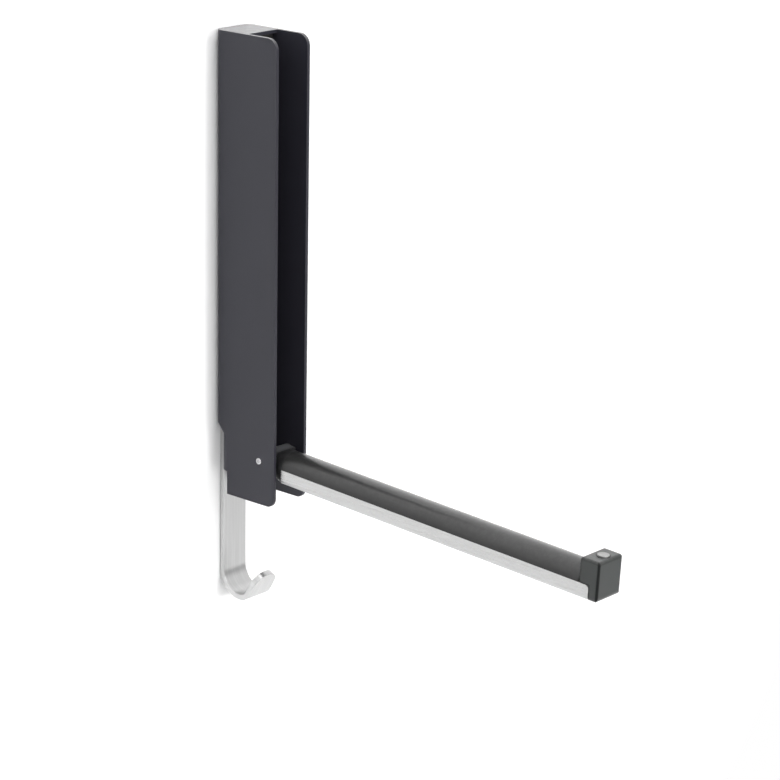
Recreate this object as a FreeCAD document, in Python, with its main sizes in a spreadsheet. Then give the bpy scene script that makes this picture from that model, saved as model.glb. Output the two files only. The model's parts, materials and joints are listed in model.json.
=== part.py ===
import FreeCAD, Part
import math
import os

import Sketcher

Vector = FreeCAD.Vector
Rotation = FreeCAD.Rotation
Placement = FreeCAD.Placement

# Wall mounted clothes valet. The wall is the plane Y = 0, the arm reaches towards -Y and Z is up.
# The origin lies on the wall, midway between the two wall screws.
# Lengths are in millimetres, angles in degrees.

driving = [
    # channel housing
    ("housing_width", 20.0),
    ("housing_depth", 35.0),
    ("housing_height", 200.0),
    ("housing_sheet", 1.5),
    ("rear_corner", 3.5),
    ("front_corner", 5.0),
    ("foot_corner", 3.8),
    ("top_plate_depth", 18.0),
    ("wall_hole", 5.0),
    ("wall_hole_pitch", 120.0),
    # step in the web, measured up from the foot of the cheeks
    ("step_start", 30.75),
    ("step_rise", 4.3),
    ("step_corner", 5.0),
    ("web_foot", 10.25),
    # hook strip
    ("strip_width", 13.5),
    ("strip_thick", 2.5),
    ("strip_tuck", 3.0),
    ("strip_edge", 0.3),
    ("hook_drop", 36.75),
    ("hook_bend", 9.25),
    ("lip_bend", 4.5),
    ("lip_lean", 29.0),
    ("lip_length", 10.5),
    ("strip_screw_low", 14.0),
    ("strip_screw_pitch", 8.0),
    # hinge
    ("pin_bore", 3.2),
    ("pin_depth", 26.0),
    ("pin_height", 19.0),
    ("pin_bevel", 0.3),
    ("bush_wall", 0.7),
    ("bush_length", 5.0),
    ("bush_flange", 7.4),
    # arm, seen along its own length; heights are from the pin axis
    ("droop", 3.0),
    ("arm_width", 15.0),
    ("arm_length", 179.0),
    ("bar_start", 11.0),
    ("bar_underside", 7.8),
    ("bar_tall", 6.4),
    ("bar_sheet", 1.2),
    ("bar_bend", 1.8),
    ("bar_end_corner", 1.8),
    ("tongue_width", 10.6),
    ("cover_shoulder", 0.15),
    ("cover_crown", 5.15),
    ("cover_wall", 1.6),
    ("rib_thick", 1.2),
    ("rib_depth", 3.4),
    # hinge head
    ("nose_centre", 9.7),
    ("knuckle_wall", 1.4),
    ("knuckle_front", 5.0),
    ("heel_reach", 10.9),
    ("heel_top", 0.6),
    ("tenon_length", 18.0),
    ("head_screw_start", 16.0),
    ("head_screw_pitch", 8.0),
    # end cap
    ("cap_length", 9.4),
    ("cap_face", 4.4),
    ("cap_top", 9.25),
    ("cap_brow", 1.2),
    ("cap_toe", 2.0),
    ("cap_edge", 0.9),
    ("plug_length", 12.0),
    ("cap_screw_back", 6.0),
    ("magnet_width", 4.8),
    ("magnet_length", 3.5),
    ("magnet_proud", 0.6),
    ("magnet_back", 3.9),
    # stop and keeper
    ("stop_low", 11.0),
    ("stop_tall", 15.0),
    ("keeper_tall", 12.5),
    ("keeper_disc_width", 6.0),
    ("keeper_disc_thick", 1.5),
    ("keeper_disc_drop", 4.4),
    ("keeper_screw_drop", 3.2),
    ("keeper_screw_pitch", 6.2),
    # countersunk screws
    ("large_thread", 3.0),
    ("large_head", 5.6),
    ("large_length", 9.0),
    ("large_socket", 2.0),
    ("small_thread", 2.5),
    ("small_head", 4.7),
    ("small_length", 5.0),
    ("small_socket", 1.5),
    # clearances
    ("screw_slack", 0.1),
    ("thread_slack", 0.03),
    ("head_sink", 0.1),
    ("pin_slack", 0.02),
    ("running_slack", 0.04),
    ("flange_slack", 0.05),
    ("snug", 0.1),
    ("seam", 0.05),
    ("side_gap", 0.25),
    ("stop_gap", 0.1),
    ("keeper_gap", 0.4),
    ("step_gap", 0.15),
]

doc = FreeCAD.newDocument("ClothesValet")
sheet = doc.addObject("Spreadsheet::Sheet", "Sizes")


class Size:
    """A length or angle, held as a sheet expression and as its present number."""

    def __init__(self, text, value):
        self.text = text
        self.value = float(value)

    def __add__(self, other):
        other = asSize(other)
        return Size("(%s + %s)" % (self.text, other.text), self.value + other.value)

    def __sub__(self, other):
        other = asSize(other)
        return Size("(%s - %s)" % (self.text, other.text), self.value - other.value)

    def __mul__(self, other):
        other = asSize(other)
        return Size("(%s * %s)" % (self.text, other.text), self.value * other.value)

    def __truediv__(self, other):
        other = asSize(other)
        return Size("(%s / %s)" % (self.text, other.text), self.value / other.value)

    def __neg__(self):
        return Size("(0 - %s)" % self.text, -self.value)


def asSize(thing):
    if isinstance(thing, Size):
        return thing
    return Size("%.9g" % thing, thing)


def sine(angle):
    return Size("sin(%s)" % angle.text, math.sin(math.radians(angle.value)))


def cosine(angle):
    return Size("cos(%s)" % angle.text, math.cos(math.radians(angle.value)))


def fillSheet():
    """Put every driving size into the sheet under its own name."""
    named = {}
    for row, (alias, value) in enumerate(driving, start=1):
        sheet.set("A%d" % row, alias)
        sheet.set("B%d" % row, "%g" % value)
        sheet.setAlias("B%d" % row, alias)
        named[alias] = Size("Sizes.%s" % alias, value)
    doc.recompute()
    return named


size = fillSheet()
zero = asSize(0)

# A cut that goes right through runs on past the far face by this factor.
through = 2


# ---------------------------------------------------------------- helpers

def bind(owner, path, amount):
    owner.setExpression(path, asSize(amount).text)


def moveTo(owner, x, y, z, path="Placement"):
    for axis, amount in (("x", x), ("y", y), ("z", z)):
        bind(owner, "%s.Base.%s" % (path, axis), amount)


def newBody(label):
    body = doc.addObject("PartDesign::Body", label)
    body.Label = label
    return body


def originFeature(body, role):
    return [feature for feature in body.Origin.OriginFeatures if feature.Role == role][0]


def newSketch(body, name, role, offset=zero):
    """A sketch on one of the body's own planes, moved along that plane's normal."""
    sketch = body.newObject("Sketcher::SketchObject", name)
    sketch.AttachmentSupport = [(originFeature(body, role), "")]
    sketch.MapMode = "FlatFace"
    bind(sketch, "AttachmentOffset.Base.z", offset)
    return sketch


def fixPoint(sketch, edge, end, point):
    """Tie one end of an edge to its distances from the sketch's origin."""
    for kind, axis, amount in (("DistanceX", -2, point[0]), ("DistanceY", -1, point[1])):
        if amount is zero:
            sketch.addConstraint(Sketcher.Constraint("PointOnObject", edge, end, axis))
        else:
            number = sketch.addConstraint(
                Sketcher.Constraint(kind, -1, 1, edge, end, amount.value))
            bind(sketch, "Constraints[%d]" % number, amount)


def shortArc(start, finish, radius, side):
    """Short arc between two points, always drawn counter-clockwise. side: +1 centre left."""
    chord = finish - start
    half = chord.Length / 2
    toCentre = Vector(-chord.y, chord.x, 0).normalize() * side
    centre = (start + finish) * 0.5 + toCentre * math.sqrt(max(radius * radius - half * half, 0))
    first, last = (start, finish) if side > 0 else (finish, start)
    angles = [math.atan2(point.y - centre.y, point.x - centre.x) for point in (first, last)]
    if angles[1] < angles[0]:
        angles[1] += 2 * math.pi
    return Part.ArcOfCircle(Part.Circle(centre, Vector(0, 0, 1), radius), angles[0], angles[1])


def drawOutline(sketch, points, arcs=None, closed=True):
    """Join the points in order. arcs: edge number -> (radius, +1 centre left, -1 right)."""
    arcs = arcs or {}
    corners = [(asSize(x), asSize(y)) for x, y in points]
    corners = [tuple(zero if abs(c.value) < 1e-9 else c for c in corner) for corner in corners]
    places = [Vector(x.value, y.value, 0) for x, y in corners]
    ends = []
    for number in range(len(places) if closed else len(places) - 1):
        start = places[number]
        finish = places[(number + 1) % len(places)]
        if number in arcs:
            radius, side = arcs[number]
            edge = sketch.addGeometry(shortArc(start, finish, radius.value, side))
            ends.append((edge, 1, 2) if side > 0 else (edge, 2, 1))
        else:
            edge = sketch.addGeometry(Part.LineSegment(start, finish))
            ends.append((edge, 1, 2))
    followers = ends[1:] + ends[:1] if closed else ends[1:]
    for (edge, first, last), follower in zip(ends, followers):
        sketch.addConstraint(Sketcher.Constraint("Coincident", edge, last, follower[0], follower[1]))
    for number, (edge, first, last) in enumerate(ends):
        fixPoint(sketch, edge, first, corners[number])
        if number in arcs:
            radius = arcs[number][0]
            held = sketch.addConstraint(Sketcher.Constraint("Radius", edge, radius.value))
            bind(sketch, "Constraints[%d]" % held, radius)
    if not closed:
        fixPoint(sketch, ends[-1][0], ends[-1][2], corners[-1])


def drawCircle(sketch, x, y, diameter):
    centre = Vector(asSize(x).value, asSize(y).value, 0)
    edge = sketch.addGeometry(Part.Circle(centre, Vector(0, 0, 1), diameter.value / 2))
    fixPoint(sketch, edge, 3, (x, y))
    held = sketch.addConstraint(Sketcher.Constraint("Diameter", edge, diameter.value))
    bind(sketch, "Constraints[%d]" % held, diameter)


def rectangle(left, right, low, high):
    return [(left, low), (right, low), (right, high), (left, high)]


def settle(feature):
    """Recompute, and stop at once if the feature failed."""
    doc.recompute()
    if "Invalid" in feature.State:
        raise RuntimeError("%s failed" % feature.Name)
    return feature


def extrude(kind, body, name, sketch, length, reverse, middle):
    feature = body.newObject("PartDesign::" + kind, name)
    feature.Profile = sketch
    bind(feature, "Length", length)
    feature.Reversed = reverse
    feature.SideType = "Symmetric" if middle else "One side"
    return settle(feature)


def pad(body, name, sketch, length, reverse=False, middle=False):
    return extrude("Pad", body, name, sketch, length, reverse, middle)


def pocket(body, name, sketch, length, reverse=False, middle=False):
    return extrude("Pocket", body, name, sketch, length, reverse, middle)


def pattern(body, name, feature, role, length, count):
    """Repeat a feature along one of the body's axes over the whole length."""
    copies = body.newObject("PartDesign::LinearPattern", name)
    copies.Originals = [feature]
    copies.Direction = (originFeature(body, role), [""])
    bind(copies, "Length", length)
    copies.Occurrences = count
    body.Tip = copies
    return settle(copies)


def roundEdges(body, name, radius, wanted):
    """Fillet the edges of the body that the test picks out."""
    base = body.Tip
    names = ["Edge%d" % (n + 1) for n, edge in enumerate(base.Shape.Edges) if wanted(edge)]
    feature = body.newObject("PartDesign::Fillet", name)
    feature.Base = (base, names)
    bind(feature, "Radius", radius)
    return settle(feature)


def near(first, second):
    return abs(first - second) < 1e-4


def alongX(edge):
    box = edge.BoundBox
    return box.YLength < 1e-4 and box.ZLength < 1e-4


# Turns that bring a screw's length from +Z to the direction it is driven in.
drivenFromWall = Rotation(Vector(1, 0, 0), 90)
drivenUp = Rotation()


def countersink(body, name, x, y, z, turn, thread, head):
    """Cone cut for a screw head whose top is level with the surface at x, y, z."""
    cone = body.newObject("PartDesign::SubtractiveCone", name)
    grown = head / 2 + size["screw_slack"] + size["head_sink"]
    shank = thread / 2 + size["screw_slack"]
    bind(cone, "Radius1", grown)
    bind(cone, "Radius2", shank)
    bind(cone, "Height", grown - shank)
    cone.Placement = Placement(Vector(), turn)
    moveTo(cone, x, y, z)
    return settle(cone)


def straightHole(body, name, x, y, z, turn, diameter, depth):
    hole = body.newObject("PartDesign::SubtractiveCylinder", name)
    bind(hole, "Radius", diameter / 2)
    bind(hole, "Height", depth)
    hole.Placement = Placement(Vector(), turn)
    moveTo(hole, x, y, z)
    return settle(hole)


def primitive(kind, name, turn=None, **amounts):
    made = doc.addObject("Part::" + kind, name)
    for prop, amount in amounts.items():
        bind(made, prop, amount)
    made.Placement = Placement(Vector(), turn or Rotation())
    return made


# ---------------------------------------------------------------- derived sizes

halfWidth = size["housing_width"] / 2
innerHalf = halfWidth - size["housing_sheet"]
top = size["housing_height"] / 2
foot = -top
stepTop = foot + size["step_start"]
stepFoot = stepTop - size["step_rise"]
stepDepth = size["strip_thick"]
lowWebFront = -(stepDepth + size["housing_sheet"])
pinZ = foot + size["pin_height"]
pinY = -size["pin_depth"]
pinHole = size["pin_bore"]
stripScrewZ = foot + size["strip_screw_low"]
plateLow = top - size["housing_sheet"]
keeperScrewZ = plateLow - size["keeper_screw_drop"]
keeperDiscZ = plateLow - size["keeper_disc_drop"]

armHalf = size["arm_width"] / 2
barLow = -size["bar_underside"]
barTop = barLow + size["bar_tall"]
barFloor = barLow + size["bar_sheet"]
barHollow = armHalf - size["bar_sheet"]
barEnd = size["arm_length"] - size["cap_face"]
coverEnd = size["arm_length"] - size["cap_length"]
shoulder = barTop + size["cover_shoulder"]
crownRise = size["cover_crown"] - shoulder
crownRadius = (armHalf * armHalf + crownRise * crownRise) / (crownRise * 2)
crownCentre = size["cover_crown"] - crownRadius
ribOuter = barHollow - size["snug"]
ribInner = ribOuter - size["rib_thick"]
tenonHalf = ribInner - size["snug"]
bushOuter = pinHole + size["bush_wall"] * 2
magnetAt = size["arm_length"] - size["magnet_back"]
magnetFace = size["cap_top"] + size["magnet_proud"]


def armPlace(owner, reach, height):
    """Set a piece on the arm: reach out from the pin, height above its axis."""
    droop = size["droop"]
    moveTo(owner, zero,
           pinY - reach * cosine(droop) - height * sine(droop),
           pinZ - reach * sine(droop) + height * cosine(droop))


def armBody(label):
    """A body drawn about the pin axis with the arm level, then lowered by the droop."""
    body = newBody(label)
    body.Placement = Placement(Vector(), Rotation(Vector(1, 0, 0), size["droop"].value))
    bind(body, "Placement.Rotation.Angle", size["droop"])
    moveTo(body, zero, pinY, pinZ)
    return body


# ---------------------------------------------------------------- housing

def channelSection(body, name, height, rear, corner):
    """Plan outline of the bent sheet: web at the rear, a cheek each side."""
    sketch = newSketch(body, name, "XY_Plane", height)
    turn = -(rear + corner)
    flat = halfWidth - corner
    front = -size["housing_depth"]
    web = -(rear + size["housing_sheet"])
    points = [
        (-halfWidth, front), (-halfWidth, turn), (-flat, -rear),
        (flat, -rear), (halfWidth, turn), (halfWidth, front),
        (innerHalf, front), (innerHalf, turn), (flat, web),
        (-flat, web), (-innerHalf, turn), (-innerHalf, front),
    ]
    inside = corner - size["housing_sheet"]
    drawOutline(sketch, points, {1: (corner, -1), 3: (corner, -1), 7: (inside, 1), 9: (inside, 1)})
    return sketch


def makeHousing():
    body = newBody("housing")
    upper = channelSection(body, "UpperSection", stepTop, zero, size["rear_corner"])
    lower = channelSection(body, "LowerSection", stepFoot, stepDepth, size["step_corner"])
    pad(body, "UpperChannel", upper, top - stepTop)
    step = body.newObject("PartDesign::AdditiveLoft", "WebStep")
    step.Profile = upper
    step.Sections = [lower]
    step.Ruled = True
    settle(step)
    pad(body, "LowerChannel", lower, stepFoot - foot, reverse=True)

    plate = newSketch(body, "TopPlateOutline", "XY_Plane", top)
    corner = size["rear_corner"]
    flat = halfWidth - corner
    drawOutline(plate, [
        (-halfWidth, -size["top_plate_depth"]), (-halfWidth, -corner), (-flat, zero),
        (flat, zero), (halfWidth, -corner), (halfWidth, -size["top_plate_depth"]),
    ], {1: (corner, -1), 3: (corner, -1)})
    pad(body, "TopPlate", plate, size["housing_sheet"], reverse=True)

    webEnd = newSketch(body, "WebEndOutline", "YZ_Plane")
    drawOutline(webEnd, rectangle(-(stepDepth + size["step_corner"]), size["housing_sheet"],
                                  foot - size["housing_sheet"], foot + size["web_foot"]))
    pocket(body, "WebEnd", webEnd, size["housing_width"] * through, middle=True)

    front = -size["housing_depth"].value

    def frontCorner(height):
        def wanted(edge):
            box = edge.BoundBox
            return alongX(edge) and near(box.YMin, front) and near(box.ZMin, height)
        return wanted
    roundEdges(body, "FrontCorners", size["front_corner"], frontCorner(top.value))
    roundEdges(body, "FootCorners", size["foot_corner"], frontCorner(foot.value))

    bore = newSketch(body, "PinBoreCircle", "YZ_Plane")
    drawCircle(bore, pinY, pinZ, pinHole)
    pocket(body, "PinBore", bore, size["housing_width"] * through, middle=True)

    wallCircle = newSketch(body, "WallHoleCircle", "XZ_Plane")
    drawCircle(wallCircle, zero, -(size["wall_hole_pitch"] / 2), size["wall_hole"])
    wallHole = pocket(body, "WallHole", wallCircle, size["housing_sheet"] * through, reverse=True)
    pattern(body, "WallHoles", wallHole, "Z_Axis", size["wall_hole_pitch"], 2)

    stripCircle = newSketch(body, "StripHoleCircle", "XZ_Plane", stepDepth)
    drawCircle(stripCircle, zero, stripScrewZ, size["large_thread"] + size["screw_slack"] * 2)
    stripHole = pocket(body, "StripHole", stripCircle, size["housing_sheet"] * through, reverse=True)
    pattern(body, "StripHoles", stripHole, "Z_Axis", size["strip_screw_pitch"], 2)

    for number in range(2):
        z = keeperScrewZ - size["keeper_screw_pitch"] * number
        straightHole(body, "KeeperHole%d" % number, zero, zero, z, drivenFromWall,
                     size["small_thread"] + size["screw_slack"] * 2, size["housing_sheet"] * through)
        countersink(body, "KeeperSink%d" % number, zero, zero, z, drivenFromWall,
                    size["small_thread"], size["small_head"])


# ---------------------------------------------------------------- hook strip

def makeHookStrip():
    body = newBody("hook_strip")
    half = size["strip_width"] / 2
    thick = size["strip_thick"]
    bend = size["hook_bend"]
    lip = size["lip_bend"]
    lean = size["lip_lean"]
    bendY = -(thick + bend)
    bendZ = foot - size["hook_drop"]
    lipZ = bendZ - bend + lip
    bevelZ = stepFoot - size["step_gap"]
    bevelTop = bevelZ + size["strip_tuck"]
    bevelY = -thick + thick * size["strip_tuck"] / size["step_rise"]

    def lipPoint(radius, along):
        """Point on the straight lip, at a radius from the lip's bend axis."""
        return (bendY - cosine(lean) * radius - sine(lean) * along,
                lipZ - sine(lean) * radius + cosine(lean) * along)

    middle = thick / 2
    path = newSketch(body, "BendLine", "YZ_Plane")
    drawOutline(path, [
        (-middle, bevelTop), (-middle, bendZ), (bendY, bendZ - bend - middle),
        lipPoint(lip + middle, zero), lipPoint(lip + middle, size["lip_length"]),
    ], {1: (bend + middle, -1), 2: (lip + middle, -1)}, closed=False)
    section = newSketch(body, "StripSection", "XY_Plane", bevelTop)
    edge = size["strip_edge"]
    drawOutline(section, [
        (-half, -thick + edge), (-half, -edge), (-half + edge, zero), (half - edge, zero),
        (half, -edge), (half, -thick + edge), (half - edge, -thick), (-half + edge, -thick),
    ], {1: (edge, -1), 3: (edge, -1), 5: (edge, -1), 7: (edge, -1)})
    bar = body.newObject("PartDesign::AdditivePipe", "BentStrip")
    bar.Profile = section
    bar.Spine = path
    settle(bar)

    # the upper end is bevelled to tuck up behind the sloping web
    bevel = newSketch(body, "BevelOutline", "YZ_Plane")
    drawOutline(bevel, [(-thick, bevelZ), (bevelY, bevelTop), (-thick, bevelTop)])
    pocket(body, "Bevel", bevel, size["strip_width"] * through, middle=True)

    # the lip ends in a half circle as wide as the strip
    tongueY, tongueZ = lipPoint(lip - thick, size["lip_length"])
    tongue = newSketch(body, "TongueOutline", "XZ_Plane")
    tongue.AttachmentOffset = Placement(Vector(), Rotation(Vector(1, 0, 0), lean.value))
    bind(tongue, "AttachmentOffset.Rotation.Angle", lean)
    bind(tongue, "AttachmentOffset.Base.y", tongueZ)
    bind(tongue, "AttachmentOffset.Base.z", -tongueY)
    drawOutline(tongue, [
        (-half, -half), (zero, zero), (half, -half), (half + thick, -half),
        (half + thick, thick), (-(half + thick), thick), (-(half + thick), -half),
    ], {0: (half, -1), 1: (half, -1)})
    pocket(body, "Tongue", tongue, thick * 3, reverse=True)

    for number in range(2):
        z = stripScrewZ + size["strip_screw_pitch"] * number
        straightHole(body, "ScrewHole%d" % number, zero, zero, z, drivenFromWall,
                     size["large_thread"] + size["screw_slack"] * 2, thick * through)
        countersink(body, "ScrewSink%d" % number, zero, zero, z, drivenFromWall,
                    size["large_thread"], size["large_head"])


# ---------------------------------------------------------------- blocks inside the channel

def makeStopBlock():
    """Seats on the stepped web; the arm's heel rests against its front."""
    body = newBody("stop_block")
    half = innerHalf - size["side_gap"]
    corner = size["step_corner"] - size["housing_sheet"]
    front = pinY + size["heel_reach"] + size["stop_gap"]
    outline = newSketch(body, "StopOutline", "XY_Plane", foot + size["stop_low"])
    drawOutline(outline, [
        (-half, front), (-half, lowWebFront - corner), (-(half - corner), lowWebFront),
        (half - corner, lowWebFront), (half, lowWebFront - corner), (half, front),
    ], {1: (corner, -1), 3: (corner, -1)})
    pad(body, "Stop", outline, size["stop_tall"])
    circle = newSketch(body, "ThreadCircle", "XZ_Plane", -lowWebFront)
    drawCircle(circle, zero, stripScrewZ, size["large_thread"] + size["thread_slack"] * 2)
    thread = pocket(body, "Thread", circle, size["large_length"], reverse=True)
    pattern(body, "Threads", thread, "Z_Axis", size["strip_screw_pitch"], 2)


def makeKeeperBlock():
    """Fills the head of the channel and holds the disc that the arm's magnet meets."""
    body = newBody("keeper_block")
    half = innerHalf - size["side_gap"]
    corner = size["rear_corner"] - size["housing_sheet"]
    web = -size["housing_sheet"]
    front = pinY + magnetFace + size["keeper_gap"]
    outline = newSketch(body, "KeeperOutline", "XY_Plane", plateLow)
    drawOutline(outline, [
        (-half, front), (-half, web - corner), (-(half - corner), web),
        (half - corner, web), (half, web - corner), (half, front),
    ], {1: (corner, -1), 3: (corner, -1)})
    pad(body, "Keeper", outline, size["keeper_tall"], reverse=True)
    circle = newSketch(body, "DiscCircle", "XZ_Plane", -front)
    drawCircle(circle, zero, keeperDiscZ, size["keeper_disc_width"] + size["snug"])
    pocket(body, "DiscSeat", circle, size["keeper_disc_thick"])
    hole = newSketch(body, "ThreadCircle", "XZ_Plane", size["housing_sheet"])
    drawCircle(hole, zero, keeperScrewZ - size["keeper_screw_pitch"],
               size["small_thread"] + size["thread_slack"] * 2)
    thread = pocket(body, "Thread", hole, size["small_length"], reverse=True)
    pattern(body, "Threads", thread, "Z_Axis", size["keeper_screw_pitch"], 2)

    disc = primitive("Cylinder", "keeper_disc", Rotation(Vector(1, 0, 0), 90),
                     Radius=size["keeper_disc_width"] / 2, Height=size["keeper_disc_thick"])
    disc.Label = "keeper_disc"
    moveTo(disc, zero, front + size["keeper_disc_thick"], keeperDiscZ)


# ---------------------------------------------------------------- hinge pin and bushes

def makeHingePin():
    body = newBody("hinge_pin")
    radius = pinHole / 2 - size["pin_slack"]
    bevel = size["pin_bevel"]
    profile = newSketch(body, "PinProfile", "XZ_Plane")
    drawOutline(profile, [
        (-halfWidth, zero), (halfWidth, zero), (halfWidth, radius - bevel),
        (halfWidth - bevel, radius), (-(halfWidth - bevel), radius), (-halfWidth, radius - bevel),
    ])
    turned = body.newObject("PartDesign::Revolution", "TurnedPin")
    turned.Profile = profile
    turned.ReferenceAxis = (originFeature(body, "X_Axis"), [""])
    turned.Angle = 360
    settle(turned)
    moveTo(body, zero, pinY, pinZ)


def makeBush(label, side):
    """Sleeve in the hinge head with a flange that spaces the arm from the cheek."""
    turn = Rotation(Vector(0, 1, 0), 90 * side)
    flangeThick = innerHalf - armHalf - size["flange_slack"]
    sleeve = primitive("Cylinder", label + "_sleeve",
                       Radius=bushOuter / 2, Height=size["bush_length"] + flangeThick)
    flange = primitive("Cylinder", label + "_flange",
                       Radius=size["bush_flange"] / 2, Height=flangeThick)
    moveTo(flange, zero, zero, size["bush_length"])
    solid = doc.addObject("Part::Fuse", label + "_solid")
    solid.Base = sleeve
    solid.Tool = flange
    bore = primitive("Cylinder", label + "_bore",
                     Radius=pinHole / 2 - size["pin_slack"] + size["running_slack"],
                     Height=size["bush_length"] * 2 + flangeThick)
    bush = doc.addObject("Part::Cut", label)
    bush.Base = solid
    bush.Tool = bore
    bush.Label = label
    bush.Placement = Placement(Vector(), turn)
    moveTo(bush, (armHalf - size["bush_length"]) * side, pinY, pinZ)


# ---------------------------------------------------------------- arm

def makeHingeHead():
    body = armBody("hinge_head")
    low = barFloor
    knuckle = bushOuter / 2 + size["knuckle_wall"]
    heelTop = -size["heel_top"]
    lean = size["droop"]

    def heelFace(height):
        """The heel's end stands upright when the arm is down."""
        return (size["heel_reach"] + sine(lean) * height) / cosine(lean)

    # ball nose: a round bar with a ball end, trimmed to the arm's width and underside
    ball = newSketch(body, "BallProfile", "YZ_Plane")
    bind(ball, "AttachmentOffset.Base.y", crownCentre)
    drawOutline(ball, [
        (-size["bar_start"], zero), (crownRadius - size["nose_centre"], zero),
        (-size["nose_centre"], crownRadius), (-size["bar_start"], crownRadius),
    ], {1: (crownRadius, 1)})
    nose = body.newObject("PartDesign::Revolution", "Nose")
    nose.Profile = ball
    nose.ReferenceAxis = (ball, ["H_Axis"])
    nose.Angle = 360
    settle(nose)
    trim = newSketch(body, "TrimOutline", "XZ_Plane", size["bar_start"] / 2)
    drawOutline(trim, rectangle(-size["arm_width"], size["arm_width"], low * 3, armHalf))
    drawOutline(trim, rectangle(-armHalf, armHalf, low, crownRadius))
    pocket(body, "Trim", trim, size["bar_start"] * 4, middle=True)

    side = newSketch(body, "KnuckleProfile", "YZ_Plane")
    drawOutline(side, [
        (-size["knuckle_front"], low), (-size["knuckle_front"], knuckle), (zero, knuckle),
        (knuckle, zero), (knuckle, heelTop), (heelFace(heelTop), heelTop), (heelFace(low), low),
    ], {2: (knuckle, -1)})
    pad(body, "Knuckle", side, size["arm_width"], middle=True)

    tenon = newSketch(body, "TenonOutline", "XZ_Plane", size["nose_centre"])
    drawOutline(tenon, rectangle(-tenonHalf, tenonHalf, low, barTop))
    pad(body, "Tenon", tenon, size["bar_start"] + size["tenon_length"] - size["nose_centre"])

    bore = newSketch(body, "BushBoreCircle", "YZ_Plane")
    drawCircle(bore, zero, zero, bushOuter + size["thread_slack"] * 2)
    pocket(body, "BushBore", bore, size["arm_width"] * through, middle=True)
    screws = newSketch(body, "ThreadCircle", "XY_Plane", low)
    drawCircle(screws, zero, -(size["head_screw_start"] + size["head_screw_pitch"]),
               size["small_thread"] + size["thread_slack"] * 2)
    thread = pocket(body, "Thread", screws, barTop - low - size["snug"] * 2, reverse=True)
    pattern(body, "Threads", thread, "Y_Axis", size["head_screw_pitch"], 2)


def makeArmChannel():
    body = armBody("arm_channel")
    bend = size["bar_bend"]
    inside = bend - size["bar_sheet"]
    section = newSketch(body, "BarSection", "XZ_Plane", size["bar_start"])
    drawOutline(section, [
        (-armHalf, barTop), (-armHalf, barLow + bend), (-(armHalf - bend), barLow),
        (armHalf - bend, barLow), (armHalf, barLow + bend), (armHalf, barTop),
        (barHollow, barTop), (barHollow, barLow + bend), (barHollow - inside, barFloor),
        (-(barHollow - inside), barFloor), (-barHollow, barLow + bend), (-barHollow, barTop),
    ], {1: (bend, 1), 3: (bend, 1), 7: (inside, -1), 9: (inside, -1)})
    pad(body, "Bar", section, barEnd - size["bar_start"])

    # floor runs on under the hinge head as a tongue with a round end
    tongue = newSketch(body, "FloorTongue", "XY_Plane", barLow)
    start = -(size["bar_start"] + bend)
    centre = -size["nose_centre"]
    edge = size["tongue_width"] / 2
    drawOutline(tongue, [(-edge, start), (-edge, centre), (zero, centre + edge),
                         (edge, centre), (edge, start)], {1: (edge, -1), 2: (edge, -1)})
    pad(body, "Tongue", tongue, size["bar_sheet"])

    end = -barEnd.value
    height = barTop.value

    def wallEnd(edge):
        box = edge.BoundBox
        return alongX(edge) and near(box.YMin, end) and near(box.ZMin, height)
    body.Placement = Placement()
    roundEdges(body, "WallEnds", size["bar_end_corner"], wallEnd)

    screws = [size["head_screw_start"], size["head_screw_start"] + size["head_screw_pitch"],
              barEnd - size["cap_screw_back"]]
    for number, reach in enumerate(screws):
        straightHole(body, "ScrewHole%d" % number, zero, -reach, barLow, drivenUp,
                     size["small_thread"] + size["screw_slack"] * 2, size["bar_sheet"] * through)
        countersink(body, "ScrewSink%d" % number, zero, -reach, barLow, drivenUp,
                    size["small_thread"], size["small_head"])
    lowerArm(body)


def lowerArm(body):
    """Put a body that was drawn level back on the pin."""
    body.Placement = Placement(Vector(), Rotation(Vector(1, 0, 0), size["droop"].value))
    bind(body, "Placement.Rotation.Angle", size["droop"])
    moveTo(body, zero, pinY, pinZ)


def makeArmCover():
    """Half-round rail, hollow, with two ribs that grip inside the steel channel."""
    body = armBody("arm_cover")
    ribLow = barTop - size["rib_depth"]
    innerRadius = crownRadius - size["cover_wall"]
    root = innerRadius * innerRadius - ribInner * ribInner
    ribHead = crownCentre + Size("sqrt(%s)" % root.text, math.sqrt(root.value))
    innerCrown = size["cover_crown"] - size["cover_wall"]
    section = newSketch(body, "CoverSection", "XZ_Plane", size["bar_start"] + size["seam"])
    drawOutline(section, [
        (-armHalf, barTop), (-armHalf, shoulder), (zero, size["cover_crown"]),
        (armHalf, shoulder), (armHalf, barTop), (ribOuter, barTop), (ribOuter, ribLow),
        (ribInner, ribLow), (ribInner, ribHead), (zero, innerCrown), (-ribInner, ribHead),
        (-ribInner, ribLow), (-ribOuter, ribLow), (-ribOuter, barTop),
    ], {1: (crownRadius, -1), 2: (crownRadius, -1), 8: (innerRadius, 1), 9: (innerRadius, 1)})
    pad(body, "Rail", section, coverEnd - size["bar_start"] - size["seam"] * 2)


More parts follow.
